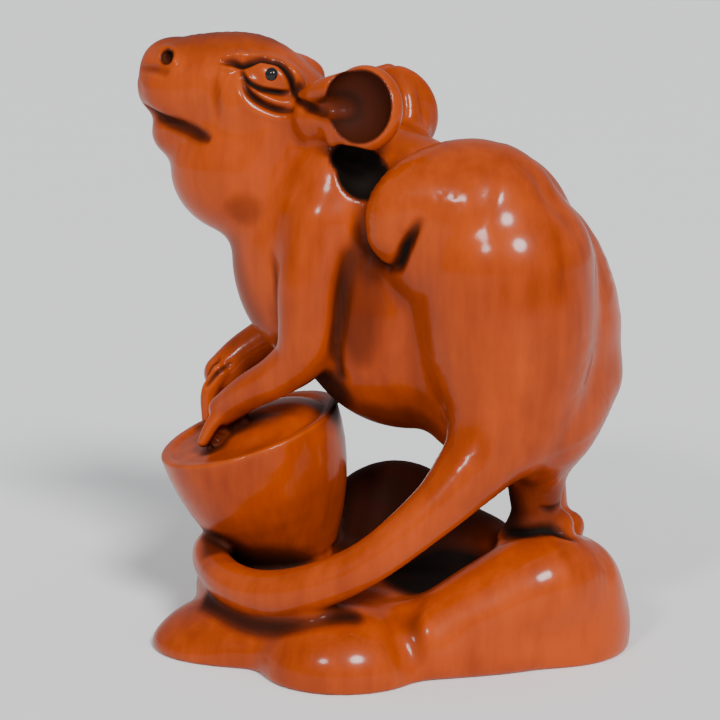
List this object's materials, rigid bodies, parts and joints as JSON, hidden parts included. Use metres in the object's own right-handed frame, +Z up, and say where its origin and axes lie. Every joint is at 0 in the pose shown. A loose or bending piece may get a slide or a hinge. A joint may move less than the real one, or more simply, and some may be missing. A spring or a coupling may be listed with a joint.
{
  "type": "netsuke",
  "caption": "Boxwood netsuke of a rat with raised head, leaning its forepaws on a small filled tub, its tail curled round the tub on a rocky base with a flat underside.",
  "frame": {"origin": "the middle of the flat underside of the base, on the rat's plane of symmetry, under the belly", "axes": "+Z up; the rat looks along -X, its left side is towards -Y"},
  "size_m": [0.0405, 0.0274, 0.0486],
  "materials": {
    "polished_boxwood": "carved, stained orange brown and polished to a gloss",
    "black_inlay": "polished black bead"
  },
  "bodies": {
    "root": {"boxwood_carving": "polished_boxwood", "left_eye_inlay": "black_inlay", "right_eye_inlay": "black_inlay"}
  },
  "joints": []
}
